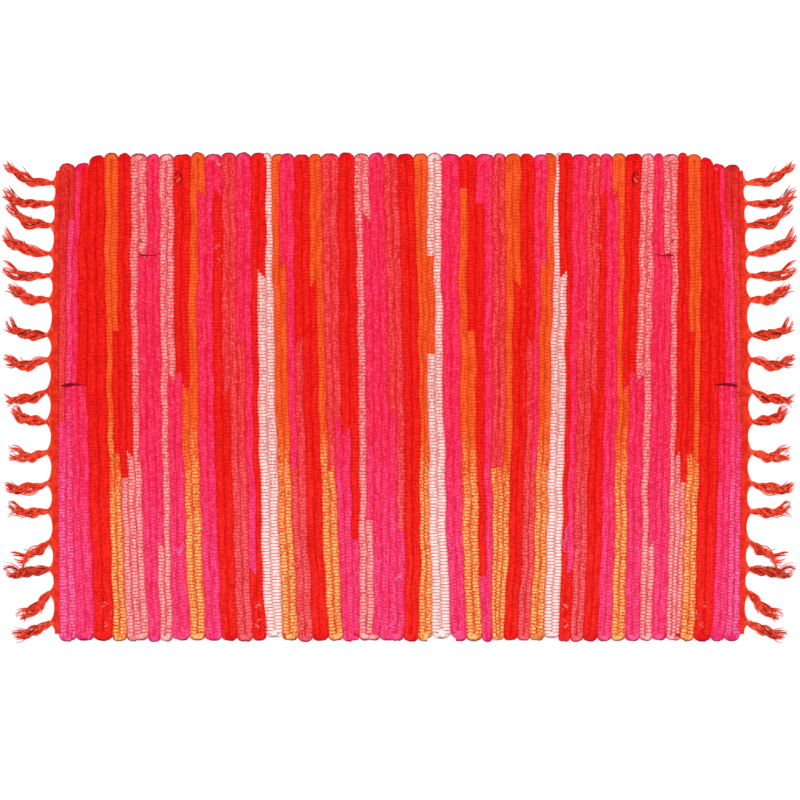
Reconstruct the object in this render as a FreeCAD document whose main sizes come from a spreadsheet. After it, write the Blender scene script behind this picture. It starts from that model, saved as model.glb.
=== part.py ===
"""Hand-woven rag bath mat: cotton rag strips woven on flat bundles of warp, with a fringe at each end.

Frame: X along the mat, Y across it from selvedge to selvedge, Z up. The origin is on the floor under the
middle of the mat. The rags lie side by side as passes across the mat. Pass 1 is at the left end; odd passes
run towards +Y, even passes run back, and a half turn at the selvedge joins each pass to the next.
"""
import FreeCAD, Part
import math
import os

import Sketcher

# Driving dimensions, in millimetres (counts are plain numbers).
SIZES = {
    "mat_width": 500.0,
    "left_passes": 46,
    "left_pitch": 7.6,
    "right_passes": 50,
    "right_pitch": 6.992,
    "rag_gap": 0.4,
    "rag_thickness": 5.0,
    "rag_corner": 1.8,
    "bundle_count": 17,
    "bundle_pitch": 28.6,
    "bundle_width": 24.0,
    "bundle_thickness": 0.6,
    "bundle_play": 0.3,
    "header_width": 7.0,
    "header_length": 484.0,
    "header_thickness": 4.0,
    "header_corner": 1.2,
    "web_length": 9.0,
    "neck_width": 2.6,
    "tip_width": 6.0,
    "hank_thickness": 2.4,
    "hank_lift": 0.4,
    "knot_radius": 2.3,
    "knot_height": 4.2,
}

# Rag strips in weaving order: colour, and length counted in passes across the mat.
# The far end repeats the near end's order backwards.
NEAR_END = (
    ("magenta", 2.0), ("hot_pink", 2.0), ("red", 2.0), ("orange", 2.0), ("red", 1.62),
    ("pale_pink", 1.58), ("hot_pink", 2.61), ("pale_pink", 1.65), ("hot_pink", 2.02), ("orange", 1.59),
    ("hot_pink", 2.0), ("red", 1.44), ("salmon", 2.11), ("hot_pink", 1.25), ("red", 1.37),
    ("white", 1.76), ("orange", 1.78), ("salmon", 1.84), ("red", 2.12), ("orange", 1.61),
)
MIDDLE_LEFT = (
    ("salmon", 1.19), ("hot_pink", 0.89), ("red", 1.57), ("pale_pink", 1.12), ("hot_pink", 3.35),
    ("salmon", 1.53),
)
MIDDLE_RIGHT = (
    ("red", 2.0), ("orange", 2.0), ("white", 2.0), ("hot_pink", 2.0), ("orange", 2.0),
    ("hot_pink", 2.0), ("salmon", 1.65),
)
STRIPS = NEAR_END + MIDDLE_LEFT + MIDDLE_RIGHT + tuple(reversed(NEAR_END))

# Where each tassel's tip lies from its knot: outwards, then across the mat. First tassel at the +Y corner.
TASSEL_TIPS = (
    (36.0, 12.0), (39.0, 4.0), (35.0, 11.0), (38.0, 14.0), (38.0, 3.0), (33.0, 8.0), (36.0, 8.0),
    (37.0, -4.0), (36.0, -10.0), (30.0, 11.0), (33.0, 0.0), (37.0, -3.0), (33.0, 1.0), (26.0, -19.0),
    (37.0, -2.0), (22.0, -27.0), (28.0, -13.0),
)

Vector = FreeCAD.Vector
Rotation = FreeCAD.Rotation
Placement = FreeCAD.Placement
Z_AXIS = Vector(0, 0, 1)
STAND_UP = Rotation(Vector(1, 0, 0), 90)
# Width, height and corner radius that a section sketch is drawn with before its formulas size it.
FIRST_GUESS = (7.0, 5.0, 1.5)

doc = FreeCAD.newDocument("rag_bath_mat")
sub_parts = []


def make_sheet():
    """The spreadsheet of driving dimensions, with the lengths that follow from them."""
    sheet = doc.addObject("Spreadsheet::Sheet", "sizes")
    derived = {
        "turn_reach_left": "=left_pitch - rag_gap / 2",
        "turn_reach_right": "=right_pitch - rag_gap / 2",
        "run_left": "=mat_width - 2 * turn_reach_left",
        "run_right": "=mat_width - 2 * turn_reach_right",
        "half_field": "=left_passes * left_pitch",
    }
    cells = {**{name: str(value) for name, value in SIZES.items()}, **derived}
    for row, (name, text) in enumerate(cells.items(), start=1):
        sheet.set(f"A{row}", name)
        sheet.set(f"B{row}", text)
        sheet.setAlias(f"B{row}", name)
    return sheet


def bind(thing, **formulas):
    """Ties properties of an object to formulas on the sheet; a double underscore stands for a dot."""
    for name, formula in formulas.items():
        thing.setExpression(name.replace("__", "."), formula)
    return thing


def keep(thing, label):
    """Labels a finished sub-part and lists it for export."""
    thing.Label = label
    sub_parts.append(thing)
    return thing


def joined(kind, name, pieces):
    """A fusion or a compound of several objects; a single object is returned as it is."""
    if len(pieces) == 1:
        return pieces[0]
    whole = doc.addObject(kind, name)
    if kind == "Part::Compound":
        whole.Links = pieces
    else:
        whole.Shapes = pieces
    return whole


def rounded_section(name, width, height, corner):
    """A rounded rectangle standing in the XZ plane, centred on X = 0, with its base on Z = 0."""
    sketch = doc.addObject("Sketcher::SketchObject", name)
    sketch.Placement = Placement(Vector(0, 0, 0), STAND_UP)
    w, h, r = FIRST_GUESS
    flats = [
        ((-w / 2 + r, 0), (w / 2 - r, 0)),
        ((w / 2, r), (w / 2, h - r)),
        ((w / 2 - r, h), (-w / 2 + r, h)),
        ((-w / 2, h - r), (-w / 2, r)),
    ]
    centres = [(w / 2 - r, r), (w / 2 - r, h - r), (-w / 2 + r, h - r), (-w / 2 + r, r)]
    for (x0, y0), (x1, y1) in flats:
        sketch.addGeometry(Part.LineSegment(Vector(x0, y0, 0), Vector(x1, y1, 0)))
    quarter = math.pi / 2
    for turn, (cx, cy) in enumerate(centres):
        circle = Part.Circle(Vector(cx, cy, 0), Z_AXIS, r)
        sketch.addGeometry(Part.ArcOfCircle(circle, (turn - 1) * quarter, turn * quarter))
    for side in range(4):
        sketch.addConstraint(Sketcher.Constraint("Tangent", side, 2, side + 4, 1))
        sketch.addConstraint(Sketcher.Constraint("Tangent", side + 4, 2, (side + 1) % 4, 1))
    sketch.addConstraint(Sketcher.Constraint("Vertical", 1))
    sketch.addConstraint(Sketcher.Constraint("Horizontal", 2))
    sketch.addConstraint(Sketcher.Constraint("Vertical", 3))
    for arc in (5, 6, 7):
        sketch.addConstraint(Sketcher.Constraint("Equal", 4, arc))
    sketch.addConstraint(Sketcher.Constraint("Symmetric", 0, 1, 0, 2, -2))
    sketch.addConstraint(Sketcher.Constraint("PointOnObject", 0, 1, -1))
    formulas = (
        ("DistanceX", (3, 1, 1, 1), w, width),
        ("DistanceY", (0, 1, 2, 1), h, height),
        ("Radius", (4,), r, corner),
    )
    for kind, where, value, formula in formulas:
        index = sketch.addConstraint(Sketcher.Constraint(kind, *where, value))
        sketch.setExpression(f"Constraints[{index}]", formula)
    return sketch


def side_of(pass_number):
    """Which half of the mat a pass lies in."""
    return "left" if pass_number <= SIZES["left_passes"] else "right"


def pass_x(pass_number):
    """Formula for the X of a pass's centreline."""
    if side_of(pass_number) == "left":
        return f"{pass_number - 0.5} * sizes.left_pitch - sizes.half_field"
    return f"{pass_number - SIZES['left_passes'] - 0.5} * sizes.right_pitch"


def straight_run(name, pass_number, first, last, trims):
    """One rag pass from share first to share last of its length, less the gap at its free ends."""
    side = side_of(pass_number)
    going_up = pass_number % 2 == 1
    low, high = (first, last) if going_up else (1 - last, 1 - first)
    low_trim, high_trim = trims if going_up else trims[::-1]
    run = doc.addObject("Part::Extrusion", name)
    run.Base = sections[side]
    run.DirMode = "Custom"
    run.Dir = Vector(0, 1, 0)
    run.Solid = True
    length = f"{high - low:.4f} * sizes.run_{side} - {(low_trim + high_trim) / 2} * sizes.rag_gap"
    start = f"{low - 0.5:.4f} * sizes.run_{side} + {low_trim / 2} * sizes.rag_gap"
    return bind(run, LengthFwd=length, Placement__Base__x=pass_x(pass_number), Placement__Base__y=start)


def selvedge_turn(name, pass_number):
    """The half turn that carries the rag from this pass to the next one."""
    side = side_of(pass_number)
    at_top = pass_number % 2 == 1
    turn = doc.addObject("Part::Revolution", name)
    turn.Source = sections[side]
    turn.Axis = Vector(0, 0, -1 if at_top else 1)
    turn.Angle = 180.0
    turn.Solid = True
    sign = "" if at_top else "-"
    return bind(
        turn,
        Base__x=f"sizes.{side}_pitch / 2",
        Placement__Base__x=pass_x(pass_number),
        Placement__Base__y=f"{sign}0.5 * sizes.run_{side}",
    )


def rag_strip(number, colour, start, end):
    """A rag strip from one place along the weave to another, slotted where the warp passes through it."""
    last_pass = {"left": SIZES["left_passes"], "right": SIZES["left_passes"] + SIZES["right_passes"]}
    runs = []
    pass_number = int(start)
    while pass_number < end - 1e-6:
        first = max(0.0, start - pass_number)
        last = min(1.0, end - pass_number)
        trims = (1 if pass_number == int(start) else 0, 1 if last < 1.0 else 0)
        tag = f"rag_{number:02d}_{pass_number:02d}"
        runs.append(straight_run(tag + "_run", pass_number, first, last, trims))
        if last == 1.0 and pass_number != last_pass[side_of(pass_number)]:
            runs.append(selvedge_turn(tag + "_turn", pass_number))
        pass_number += 1
    whole = joined("Part::MultiFuse", f"rag_{number:02d}_whole", runs)
    if hasattr(whole, "Refine"):
        whole.Refine = True
    cut = doc.addObject("Part::Cut", f"rag_{number:02d}")
    cut.Base = whole
    cut.Tool = warp_slots
    keep(cut, f"rag_strip_{number:02d}_{colour}")


def bundle_row(name, length, start, width, thickness):
    """Seventeen flat boxes, one per warp bundle, at the mat's mid height."""
    boxes = []
    for index in range(SIZES["bundle_count"]):
        place = index - (SIZES["bundle_count"] - 1) / 2
        box = doc.addObject("Part::Box", f"{name}_{index + 1:02d}")
        bind(
            box,
            Length=length,
            Width=width,
            Height=thickness,
            Placement__Base__x=start,
            Placement__Base__y=f"{place} * sizes.bundle_pitch - ({width}) / 2",
            Placement__Base__z=f"(sizes.rag_thickness - ({thickness})) / 2",
        )
        boxes.append(box)
    return joined("Part::Compound", name, boxes)


def header(side):
    """The narrow band of cotton weft that locks the end of the weave, with slots for the warp."""
    band = doc.addObject("Part::Extrusion", f"{side}_header_band")
    band.Base = header_section
    band.DirMode = "Custom"
    band.Dir = Vector(0, 1, 0)
    band.Solid = True
    reach = "sizes.half_field + sizes.header_width / 2 + sizes.rag_gap"
    bind(
        band,
        LengthFwd="sizes.header_length",
        Placement__Base__x=f"-({reach})" if side == "left" else reach,
        Placement__Base__y="-sizes.header_length / 2",
        Placement__Base__z="(sizes.rag_thickness - sizes.header_thickness) / 2",
    )
    cut = doc.addObject("Part::Cut", f"{side}_header_cut")
    cut.Base = band
    cut.Tool = warp_slots
    keep(cut, f"{side}_header")


def outline_sketch(name, corners):
    """A closed outline of straight edges on the floor plane."""
    sketch = doc.addObject("Sketcher::SketchObject", name)
    for start, end in zip(corners, corners[1:] + corners[:1]):
        sketch.addGeometry(Part.LineSegment(start, end))
    return sketch


def tassel(side, index, tip):
    """Warp ends gathered from one bundle into a knot, then hanging loose to a tip that fans out a little."""
    out = -1 if side == "left" else 1
    tag = f"{side}_tassel_{index + 1:02d}"
    y = ((SIZES["bundle_count"] - 1) / 2 - index) * SIZES["bundle_pitch"]
    half_field = SIZES["left_passes"] * SIZES["left_pitch"]
    foot = half_field + SIZES["header_width"] + SIZES["rag_gap"] + SIZES["bundle_play"] * 2
    neck = foot + SIZES["web_length"]
    reach, across = tip
    upper = [
        (foot, SIZES["bundle_width"] / 2),
        (neck, SIZES["neck_width"] / 2),
        (neck + reach, across + SIZES["tip_width"] / 2),
    ]
    lower = [
        (neck + reach, across - SIZES["tip_width"] / 2),
        (neck, -SIZES["neck_width"] / 2),
        (foot, -SIZES["bundle_width"] / 2),
    ]
    outline = outline_sketch(tag + "_outline", [Vector(out * x, y + dy, 0) for x, dy in upper + lower])
    hank = doc.addObject("Part::Extrusion", tag + "_hank")
    hank.Base = outline
    hank.DirMode = "Custom"
    hank.Dir = Z_AXIS
    hank.Solid = True
    bind(hank, LengthFwd="sizes.hank_thickness", Placement__Base__z="sizes.hank_lift")
    knot = doc.addObject("Part::Cylinder", tag + "_knot")
    bind(knot, Radius="sizes.knot_radius", Height="sizes.knot_height")
    knot.Placement = Placement(Vector(out * neck, y, SIZES["hank_lift"] / 2), Rotation())
    return joined("Part::MultiFuse", tag, [hank, knot])


def check_document():
    """Stops if any object failed or any sub-part isn't a valid solid."""
    for thing in doc.Objects:
        if "Invalid" in thing.State or "Error" in thing.State:
            raise RuntimeError(f"{thing.Name} failed: {thing.State}")
    for part in sub_parts:
        shape = part.Shape
        if shape.isNull() or not shape.isValid() or not shape.Solids:
            raise RuntimeError(f"{part.Label} has no valid solid")


make_sheet()
doc.recompute()
sections = {
    side: rounded_section(
        f"{side}_rag_section", f"sizes.{side}_pitch - sizes.rag_gap", "sizes.rag_thickness", "sizes.rag_corner"
    )
    for side in ("left", "right")
}
header_section = rounded_section(
    "header_section", "sizes.header_width", "sizes.header_thickness", "sizes.header_corner"
)
warp_slots = bundle_row(
    "warp_slots",
    "2 * (sizes.half_field + 2 * sizes.header_width)",
    "-(sizes.half_field + 2 * sizes.header_width)",
    "sizes.bundle_width + 2 * sizes.bundle_play",
    "sizes.bundle_thickness + 2 * sizes.bundle_play",
)

place = 1.0
for number, (colour, passes) in enumerate(STRIPS, start=1):
    rag_strip(number, colour, round(place, 4), round(place + passes, 4))
    place += passes

warp_length = "sizes.half_field + sizes.rag_gap / 2 + sizes.header_width"
for side in ("left", "right"):
    start = f"-({warp_length}) - sizes.rag_gap / 2" if side == "left" else "sizes.rag_gap / 2"
    warps = bundle_row(f"{side}_warp", warp_length, start, "sizes.bundle_width", "sizes.bundle_thickness")
    keep(warps, f"{side}_warps")
    header(side)
    fringe = [tassel(side, index, tip) for index, tip in enumerate(TASSEL_TIPS)]
    keep(joined("Part::Compound", f"{side}_fringe", fringe), f"{side}_tassels")

doc.recompute()
check_document()
os.makedirs("parts", exist_ok=True)
for part in sub_parts:
    part.Shape.exportStep(f"parts/{part.Label}.step")
    box = part.Shape.BoundBox
    print(
        f"{part.Label}: {len(part.Shape.Solids)} solids, {part.Shape.Volume:.0f} mm3, "
        f"x {box.XMin:.2f} {box.XMax:.2f}, y {box.YMin:.2f} {box.YMax:.2f}, z {box.ZMin:.2f} {box.ZMax:.2f}"
    )
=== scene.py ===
import logging
import math
from dataclasses import dataclass, field
from enum import Enum

import bpy
import numpy as np
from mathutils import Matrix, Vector


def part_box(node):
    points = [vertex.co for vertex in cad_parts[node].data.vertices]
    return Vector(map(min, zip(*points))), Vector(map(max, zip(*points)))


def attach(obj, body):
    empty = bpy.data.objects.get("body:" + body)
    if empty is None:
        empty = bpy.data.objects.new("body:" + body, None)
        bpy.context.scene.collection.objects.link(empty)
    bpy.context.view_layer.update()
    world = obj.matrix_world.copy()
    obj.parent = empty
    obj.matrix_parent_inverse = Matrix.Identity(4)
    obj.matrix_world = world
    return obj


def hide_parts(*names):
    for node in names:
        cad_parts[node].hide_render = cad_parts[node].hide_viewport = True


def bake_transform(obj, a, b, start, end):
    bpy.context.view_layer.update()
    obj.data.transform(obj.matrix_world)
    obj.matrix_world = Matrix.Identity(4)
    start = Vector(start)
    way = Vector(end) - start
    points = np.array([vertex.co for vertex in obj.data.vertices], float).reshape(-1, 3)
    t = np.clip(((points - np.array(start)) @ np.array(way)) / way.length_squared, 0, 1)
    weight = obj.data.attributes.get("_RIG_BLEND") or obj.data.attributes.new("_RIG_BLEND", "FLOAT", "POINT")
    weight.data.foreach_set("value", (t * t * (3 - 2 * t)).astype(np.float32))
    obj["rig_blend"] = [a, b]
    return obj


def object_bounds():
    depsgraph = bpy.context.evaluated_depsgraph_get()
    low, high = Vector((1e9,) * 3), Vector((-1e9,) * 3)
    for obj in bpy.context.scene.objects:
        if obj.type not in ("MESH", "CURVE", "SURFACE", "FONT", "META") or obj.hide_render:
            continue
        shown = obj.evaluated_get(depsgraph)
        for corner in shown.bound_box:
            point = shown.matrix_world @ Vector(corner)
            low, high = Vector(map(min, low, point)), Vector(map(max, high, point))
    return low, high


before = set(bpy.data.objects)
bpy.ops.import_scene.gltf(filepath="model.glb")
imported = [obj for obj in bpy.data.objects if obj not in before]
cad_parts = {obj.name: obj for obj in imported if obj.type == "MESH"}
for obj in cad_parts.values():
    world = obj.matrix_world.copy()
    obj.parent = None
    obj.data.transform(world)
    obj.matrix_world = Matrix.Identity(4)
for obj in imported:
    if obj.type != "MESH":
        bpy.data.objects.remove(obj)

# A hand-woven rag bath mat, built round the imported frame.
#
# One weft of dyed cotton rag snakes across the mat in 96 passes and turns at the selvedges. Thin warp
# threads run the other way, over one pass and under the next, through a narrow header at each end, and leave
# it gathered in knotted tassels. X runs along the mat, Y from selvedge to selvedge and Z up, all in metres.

log = logging.getLogger("rag_mat")
MM = 0.001
CAD_LOW, CAD_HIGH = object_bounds()
MIDDLE_HEIGHT = (CAD_LOW.z + CAD_HIGH.z) / 2
FLOOR_CLEARANCE = 0.05 * MM
RAG_PLACE = "rag_place"
# How far round a turn each point of a rag lies; the rag finish paints shade on the turns' rims with it.
RAG_TURN = "rag_turn"


class Dye(Enum):
    """The cotton colours that the rags are dyed in."""

    RED = "red"
    HOT_PINK = "hot_pink"
    MAGENTA = "magenta"
    ROSE = "rose"
    SALMON = "salmon"
    PALE_PINK = "pale_pink"
    ORANGE = "orange"
    WHITE = "white"


class Side(Enum):
    """The two ends of the mat, with the sign of their X."""

    LEFT = -1
    RIGHT = 1

    @property
    def word(self) -> str:
        """The side's name as node names use it."""
        return self.name.lower()

    @property
    def body(self) -> str:
        """The rigid half of the mat that this end belongs to."""
        return f"{self.word}_half"


# The passes of each half, in groups of neighbours: how many, and the width of the group in mm at the far
# selvedge, in the middle and at the near selvedge. The widths are then fitted to the half's own length.
LEFT_PASSES = (
    (1, 9.5, 7.5, 9), (2, 12.5, 12, 17), (3, 22.5, 29.5, 28), (1, 7, 6, 6.5), (1, 7.5, 6, 7),
    (2, 12.5, 13, 14.5), (1, 8.5, 7, 7), (1, 8.5, 7.5, 6), (2, 11.5, 14.5, 12), (2, 14.5, 14, 12.5),
    (1, 8.5, 7, 11), (1, 9.5, 7, 8.5), (2, 14.5, 18, 15), (1, 8, 7, 8.5), (1, 8.5, 8.5, 7.5),
    (2, 14, 15, 16), (2, 15, 15.5, 14), (1, 7.5, 5.5, 6.5), (1, 7.5, 8.5, 8.5), (1, 5, 8.5, 8.5),
    (2, 15.5, 13, 16), (1, 8, 7.5, 7), (1, 7.5, 8, 7), (1, 7.5, 7.5, 7.5), (1, 6, 7, 8),
    (1, 5.5, 7.5, 7.5), (1, 9, 7.5, 7.5), (1, 8.5, 7.5, 5.5), (1, 8, 9, 5.5), (1, 7.5, 8.5, 5.5),
    (2, 15, 15, 14), (2, 14.5, 15, 16), (2, 14.5, 15.5, 15.5),
)
RIGHT_PASSES = (
    (2, 16, 15.5, 14.5), (2, 14.5, 8.5, 13.5), (2, 14, 15.5, 18), (2, 19, 17, 15.5),
    (2, 16.5, 16, 15.5), (2, 17.5, 16, 10.5), (2, 12, 13, 7.5), (1, 7, 7.5, 4.5), (1, 8.5, 7, 7),
    (2, 14, 13.5, 12.5), (1, 6.5, 5.5, 6), (1, 7, 5.5, 7), (1, 8.5, 6.5, 7.5), (1, 3.5, 7.5, 7.5),
    (1, 7.5, 7.5, 7), (1, 6, 4.5, 5.5), (2, 15.5, 14, 13), (2, 13, 13.5, 13.5), (2, 13, 14, 14),
    (2, 13, 11, 13.5), (1, 8, 6.5, 7), (1, 8.5, 7, 6.5), (1, 6.5, 8, 8), (1, 6, 7.5, 5.5),
    (2, 9.5, 13, 13), (1, 7.5, 6.5, 7.5), (1, 7.5, 6, 5), (2, 10, 11.5, 9), (2, 13.5, 12, 14),
    (2, 12, 19, 17), (1, 6, 6, 7), (2, 12, 11, 14), (1, 9, 5, 7),
)
# Each rag strip's length, in passes, in the order in which they were woven in.
STRIP_LENGTHS = (
    2, 2, 2, 2, 1.62, 1.58, 2.61, 1.65, 2.02, 1.59, 2, 1.44, 2.11, 1.25, 1.37, 1.76, 1.78, 1.84, 2.12,
    1.61, 1.19, 0.89, 1.57, 1.12, 3.35, 1.53, 2, 2, 2, 2, 2, 2, 1.65, 1.61, 2.12, 1.84, 1.78, 1.76,
    1.37, 1.25, 2.11, 1.44, 2, 1.59, 2.02, 1.65, 2.61, 1.58, 1.62, 2, 2, 2, 2,
)
# Where a strip is pieced out of a second rag: its number, that rag's dye, and from where to where.
INLAYS = {
    1: (Dye.ROSE, 1.45, 2.11), 2: (Dye.RED, 4.0, 4.47), 4: (Dye.RED, 8.36, 8.62),
    5: (Dye.PALE_PINK, 9.0, 9.33), 9: (Dye.RED, 17.55, 18.48), 18: (Dye.HOT_PINK, 31.78, 32.65),
    23: (Dye.HOT_PINK, 40.8, 41.0), 25: (Dye.PALE_PINK, 42.76, 43.0), 26: (Dye.HOT_PINK, 46.78, 47.0),
    29: (Dye.ORANGE, 51.59, 51.8), 31: (Dye.RED, 55.94, 56.36), 32: (Dye.RED, 57.12, 57.91),
    33: (Dye.ORANGE, 59.0, 59.35), 36: (Dye.HOT_PINK, 65.35, 66.22), 45: (Dye.RED, 79.52, 80.45),
    49: (Dye.PALE_PINK, 88.68, 89.0), 50: (Dye.RED, 89.38, 89.64), 52: (Dye.RED, 93.53, 94.0),
    53: (Dye.ROSE, 95.89, 96.55),
}
# Where each tassel's knot lies across the mat, in mm, then how far its tip lies outwards and across from the
# knot. The first is at the far selvedge.
TASSEL_PLACES = (
    (229, 36, 12), (208, 39, 4), (184, 35, 11), (154, 38, 14), (131, 38, 3), (105, 33, 8), (68, 36, 8),
    (42, 37, -4), (9, 36, -10), (-23, 30, 11), (-55, 33, 0), (-87, 37, -3), (-116, 33, 1),
    (-148, 26, -19), (-176, 37, -2), (-200, 22, -27), (-231, 28, -13),
)
# Painted shade: dark strips laid where a rag dives under its neighbour and the slit lies in shade: start,
# end, arch and width in mm, and how far the one at the right end lies from its mirrored place.
SLIT_SHADES = (
    ((-346, 14), (-321, 14.5), 1.8, 1.9, 0), ((-266, 146), (-245, 147), -1.8, 0.8, 15),
    ((-266, 161), (-262, 158), 0.0, 0.8, 15), ((-227, 232), (-226, 215), 3.2, 0.5, 15),
    ((-227, 232), (-226, 215), -3.2, 0.5, 15),
)
# Tufts of lint: place in mm, how many strands, and how far the right end's lie from their mirrored place.
TUFTS = (
    (-226.5, 223, 5, 15), (-186, 240, 5, 18), (-186, 156, 5, 18), (-185, 141, 4, 18),
    (-144.5, -214, 7, 25), (-144.5, -234, 6, 25), (-303, -212, 5, 9), (-300, -232, 5, 9),
    (-296, -222, 4, 9),
)
# Threads that have worked loose from a rag: name, body, lane and place across the mat.
LOOSE_THREADS = (
    ("loose_threads_01", "left_half", 44.3, -228 * MM),
    ("loose_threads_02", "left_half", 45.2, -196 * MM),
    ("loose_threads_03", "right_half", 69.5, -150 * MM),
    ("loose_threads_04", "left_half", 16.4, -155 * MM),
)
# The lane and the strips where the mat folds, and the two places between which it bends.
FOLD_LANE = 46
FOLD_STRIPS = (27, 28)
FOLD_START = (5 * MM, 0, 0)
FOLD_END = (21 * MM, 0, 0)
# The turns that stop short of the selvedge, and by how much, and the cuts whose tucked ends do.
SHORT_TURNS = {28: 3.5 * MM, 68: 3.5 * MM}
SHORT_TUCKS = (51, 53)
SHORT_TUCK = 3 * MM


# ---------------------------------------------------------------- nodes


class Wire:
    """A node's output socket; arithmetic on it adds Math nodes to its tree."""

    def __init__(self, tree: "Tree", socket: bpy.types.NodeSocket) -> None:
        self.tree, self.socket = tree, socket

    def __add__(self, other: "Wire | float") -> "Wire":
        return self.tree.maths("ADD", self, other)

    def __radd__(self, other: float) -> "Wire":
        return self.tree.maths("ADD", other, self)

    def __sub__(self, other: "Wire | float") -> "Wire":
        return self.tree.maths("SUBTRACT", self, other)

    def __rsub__(self, other: float) -> "Wire":
        return self.tree.maths("SUBTRACT", other, self)

    def __mul__(self, other: "Wire | float") -> "Wire":
        return self.tree.maths("MULTIPLY", self, other)

    def __rmul__(self, other: float) -> "Wire":
        return self.tree.maths("MULTIPLY", other, self)

    def __abs__(self) -> "Wire":
        return self.tree.maths("ABSOLUTE", self)


class Tree:
    """A node tree with one method that adds any node, and a few short ones that are used often."""

    def __init__(self, tree: bpy.types.NodeTree) -> None:
        self.tree = tree

    def feed(self, socket: bpy.types.NodeSocket, value: object) -> None:
        """Links a wire to a socket, or sets the socket's own value."""
        if isinstance(value, Wire):
            self.tree.links.new(value.socket, socket)
        else:
            socket.default_value = value

    def add(
        self, kind: str, settings: dict | None = None, inputs: dict | None = None, output: int | str = 0,
    ) -> Wire | None:
        """Adds a node.

        Args:
            kind: the node's type.
            settings: its own properties, set before its sockets.
            inputs: values or wires by socket name or number.
            output: the socket to return.

        Returns:
            The chosen output, or None for a node that has none.
        """
        node = self.tree.nodes.new(kind)
        for name, value in (settings or {}).items():
            setattr(node, name, value)
        for name, value in (inputs or {}).items():
            self.feed(node.inputs[name], value)
        return Wire(self, node.outputs[output]) if node.outputs else None

    def maths(self, operation: str, *values: "Wire | float") -> Wire:
        """A Math node on one or two values."""
        return self.add("ShaderNodeMath", {"operation": operation}, dict(enumerate(values)))

    def vector(self, operation: str, *values: object) -> Wire:
        """A Vector Math node on one or two vectors."""
        return self.add("ShaderNodeVectorMath", {"operation": operation}, dict(enumerate(values)))

    def split(self, vector: Wire) -> list[Wire]:
        """The three components of a vector."""
        first = self.add("ShaderNodeSeparateXYZ", inputs={0: vector})
        return [Wire(self, socket) for socket in first.socket.node.outputs]

    def mix(self, share: "Wire | float", low: object, high: object) -> Wire:
        """A colour between two colours."""
        return self.add("ShaderNodeMix", {"data_type": "RGBA"}, {0: share, 6: low, 7: high}, output=2)

    def fit(self, value: Wire, low: float, high: float, to_low: float = 0.0, to_high: float = 1.0) -> Wire:
        """A value carried smoothly from one range to another, clamped."""
        settings = {"interpolation_type": "SMOOTHSTEP", "clamp": True}
        return self.add("ShaderNodeMapRange", settings, {0: value, 1: low, 2: high, 3: to_low, 4: to_high})

    def noise(self, place: Wire, scale: float, detail: float = 2.0, roughness: float = 0.5) -> Wire:
        """Smooth noise from 0 to 1."""
        values = {"Vector": place, "Scale": scale, "Detail": detail, "Roughness": roughness}
        return self.add("ShaderNodeTexNoise", inputs=values)


# ---------------------------------------------------------------- finishes


def dyed(red: int, green: int, blue: int) -> tuple[float, float, float, float]:
    """A linear colour, with full alpha, from red, green and blue of 0 to 255."""
    linear = [((c / 255 + 0.055) / 1.055) ** 2.4 if c > 10 else c / 255 / 12.92 for c in (red, green, blue)]
    return (*linear, 1.0)


class Finish:
    """A cloth finish: subclasses give its name, colour, roughness and bump height."""

    bump_depth = 0.3 * MM
    bump_strength = 0.4
    shine = 0.08
    sheen = 0.02

    def surface(self, tree: Tree) -> tuple[Wire, Wire, Wire]:
        """The colour, the roughness and the bump height."""
        raise NotImplementedError

    def material(self) -> bpy.types.Material:
        """Builds the finish as a material."""
        made = bpy.data.materials.new(self.name)
        made.use_nodes = True
        made.node_tree.nodes.clear()
        tree = Tree(made.node_tree)
        colour, rough, height = self.surface(tree)
        bump = {"Strength": self.bump_strength, "Distance": self.bump_depth, "Height": height}
        normal = tree.add("ShaderNodeBump", inputs=bump)
        shader = tree.add("ShaderNodeBsdfPrincipled", inputs={
            "Base Color": colour, "Roughness": rough, "Normal": normal, "Specular IOR Level": self.shine,
            "Sheen Weight": self.sheen,
        })
        tree.add("ShaderNodeOutputMaterial", inputs={"Surface": shader})
        return made


# Painted shade: the dark purple laid on the outer rim of each turn, where the rounded edge falls away from
# the light.
TURN_RIM_SHADE = dyed(104, 4, 44)


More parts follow.
